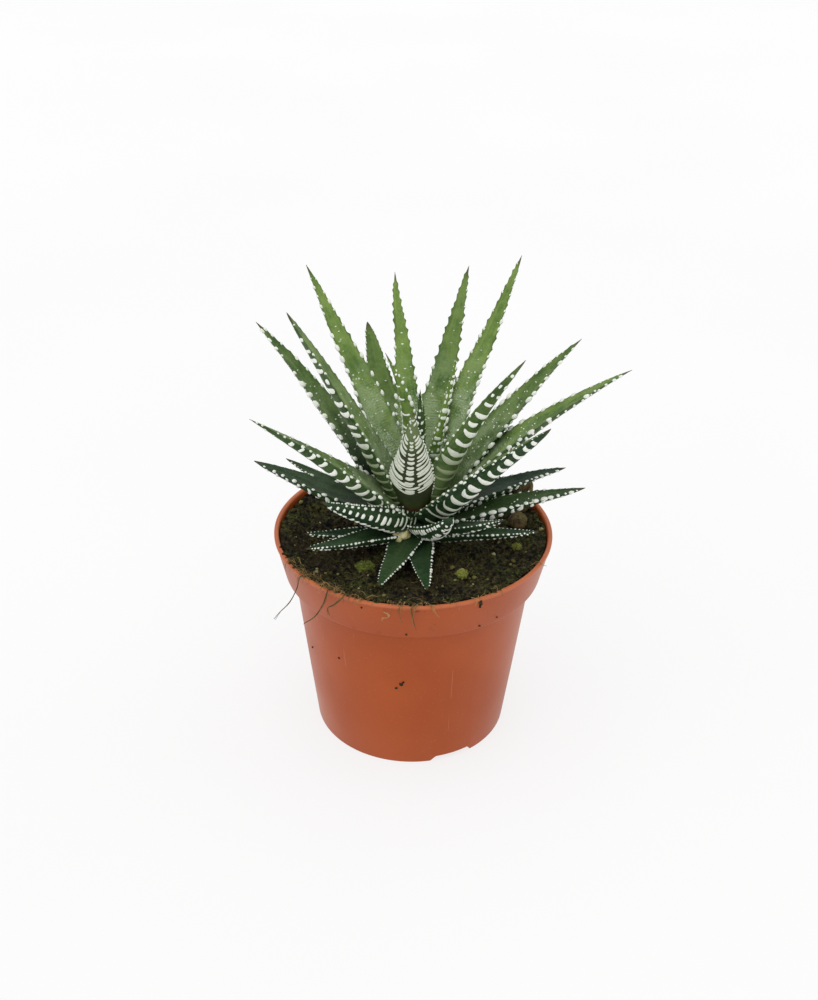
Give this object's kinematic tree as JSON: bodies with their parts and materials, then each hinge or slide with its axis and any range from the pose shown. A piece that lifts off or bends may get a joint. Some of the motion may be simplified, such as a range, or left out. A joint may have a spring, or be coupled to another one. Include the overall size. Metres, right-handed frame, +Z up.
{
  "type": "potted haworthia",
  "caption": "Rosette of tapering, white-banded succulent leaves with toothed edges, growing in peaty soil in a flared plastic nursery pot.",
  "frame": {"origin": "centre of the pot's underside, on the surface it stands on", "axes": "+Z up along the pot's axis, -Y toward the side seen in the picture, +X to its right"},
  "size_m": [0.1545, 0.1298, 0.2036],
  "materials": {
    "pot_plastic": "semi-gloss terracotta-coloured moulded plastic with handling scuffs",
    "peat_soil": null,
    "moss": "soft matt moss; fabric stands in for moss",
    "bark": "rough brown bark and husk",
    "crown_green": "smooth waxy plant skin; leather stands in for plant tissue",
    "leaf_young": "waxy yellow-green leaf with dense raised white bands; leather stands in for leaf",
    "leaf_green": "waxy mid-green leaf, smooth above, raised white bands and dots below",
    "leaf_dark": "waxy dark blue-green leaf with white beaded edges"
  },
  "bodies": {
    "root": {"pot": "pot_plastic", "soil": "peat_soil", "moss_tuft_left": "moss", "moss_tuft_right": "moss", "moss_tuft_edge": "moss", "bark_ball": "bark", "bark_chip": "bark", "stem": "crown_green", "heart_leaf_01": "leaf_young", "young_leaf_02": "leaf_young", "young_leaf_03": "leaf_young", "young_leaf_04": "leaf_young", "young_leaf_05": "leaf_young", "tall_leaf_06": "leaf_green", "tall_leaf_07": "leaf_green", "tall_leaf_08": "leaf_green", "tall_leaf_09": "leaf_green", "tall_leaf_10": "leaf_green", "tall_leaf_11": "leaf_green", "middle_leaf_12": "leaf_green", "middle_leaf_13": "leaf_green", "middle_leaf_14": "leaf_green", "middle_leaf_15": "leaf_green", "middle_leaf_16": "leaf_green", "middle_leaf_17": "leaf_green", "lower_leaf_18": "leaf_dark", "lower_leaf_19": "leaf_dark", "lower_leaf_20": "leaf_dark", "lower_leaf_21": "leaf_dark", "lower_leaf_22": "leaf_dark", "lower_leaf_23": "leaf_dark", "lower_leaf_24": "leaf_dark", "outer_leaf_25": "leaf_dark", "outer_leaf_26": "leaf_dark", "outer_leaf_27": "leaf_dark", "outer_leaf_28": "leaf_dark", "outer_leaf_29": "leaf_dark"}
  },
  "joints": []
}
